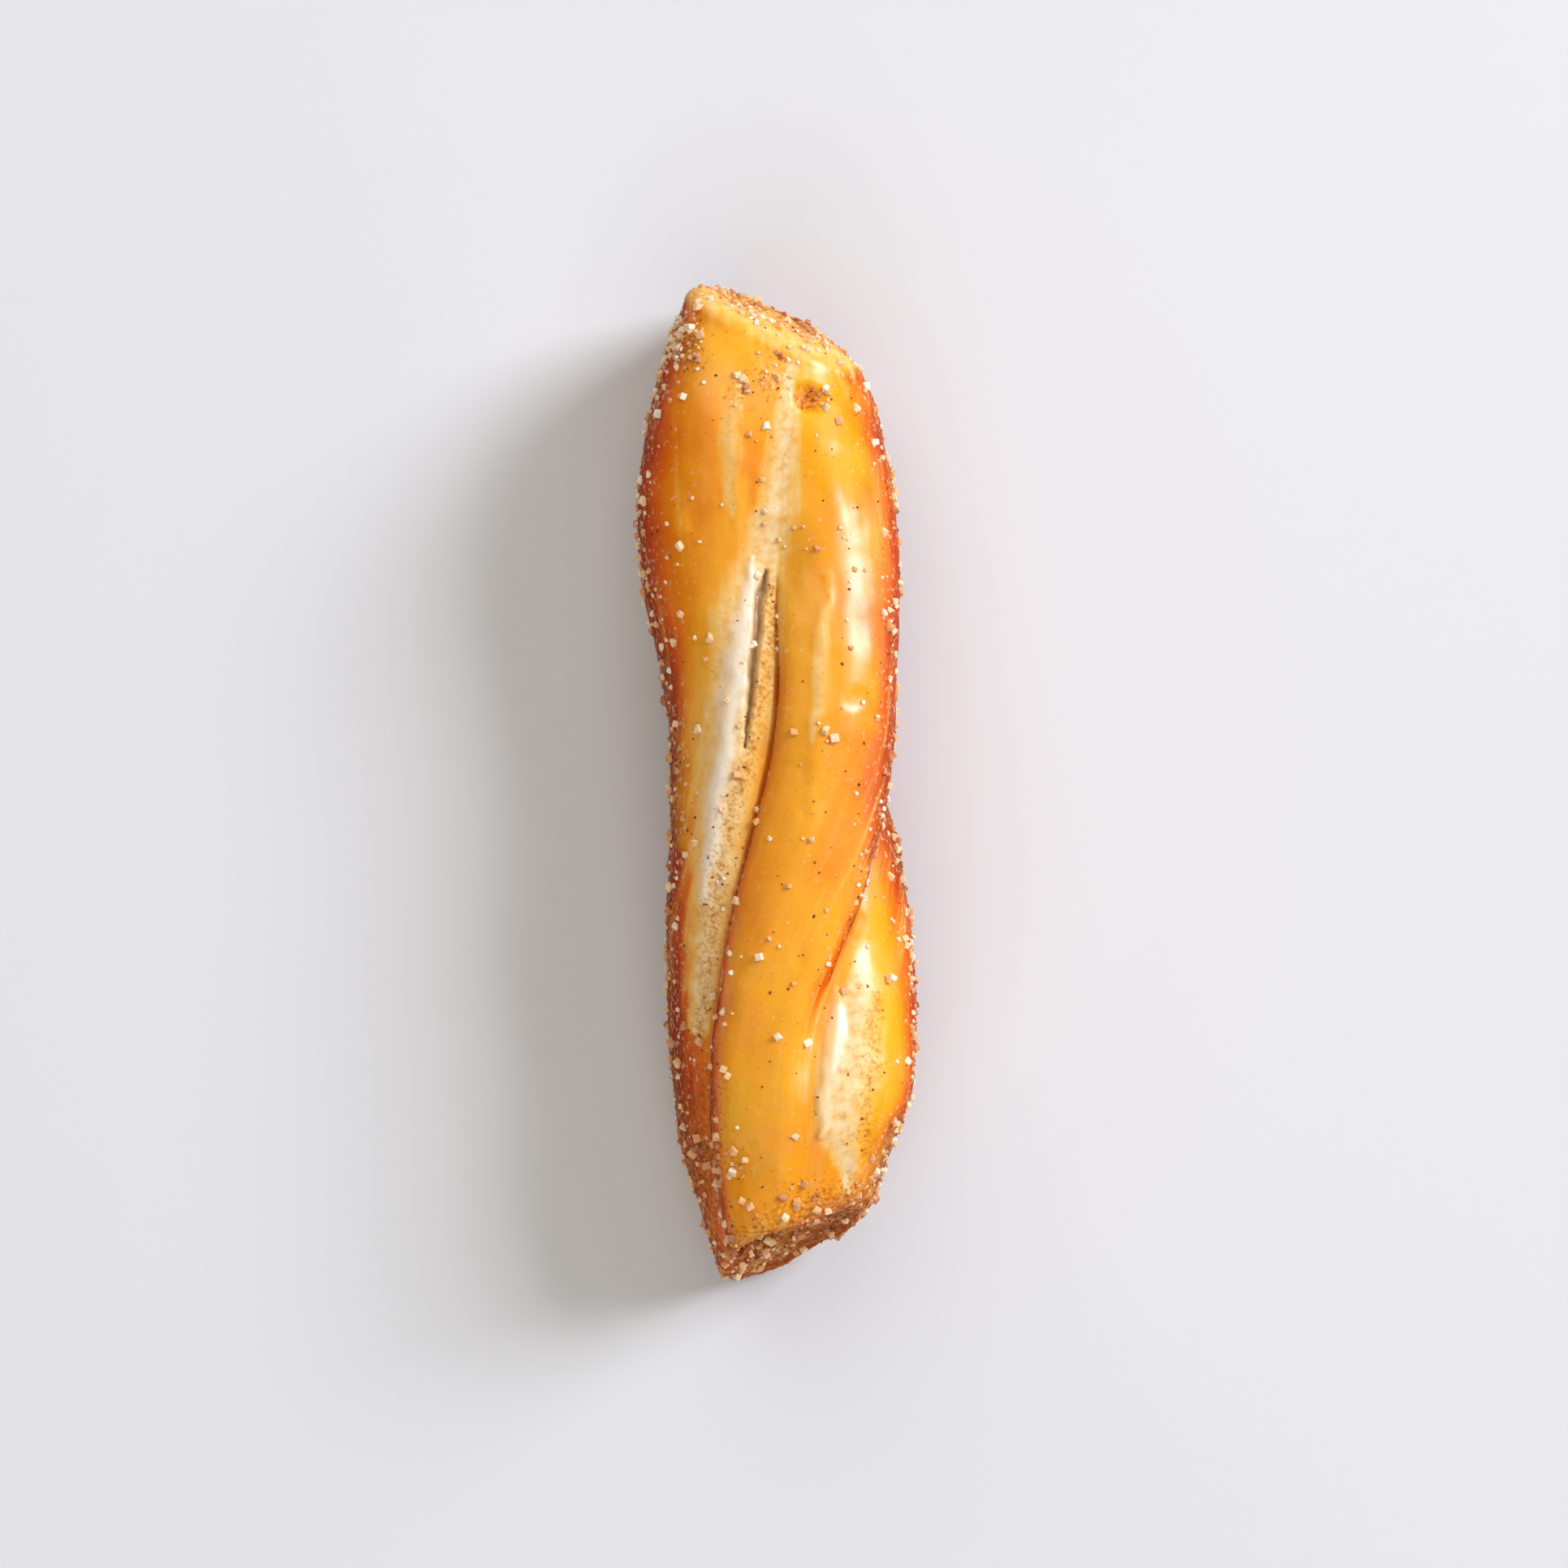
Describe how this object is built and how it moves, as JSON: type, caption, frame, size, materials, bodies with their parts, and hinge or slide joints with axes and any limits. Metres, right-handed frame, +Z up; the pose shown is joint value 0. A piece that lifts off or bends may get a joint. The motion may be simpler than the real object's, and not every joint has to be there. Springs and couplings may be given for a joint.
{
  "type": "twisted pretzel stick",
  "caption": "Bite-sized stick of golden baked dough, twisted from rounded lobes, with blunt slanted ends, a flat underside and a coat of cinnamon sugar.",
  "frame": {"origin": "middle of the flattened underside, under the centre of the bounding box", "axes": "+Y along the stick, +Z up from its underside, +X across it; the lobes rise from -X to +X towards +Y over the top"},
  "size_m": [0.0146, 0.055, 0.012],
  "materials": {
    "baked_crust": "satin"
  },
  "bodies": {
    "root": {"pretzel_stick": "baked_crust"}
  },
  "joints": []
}
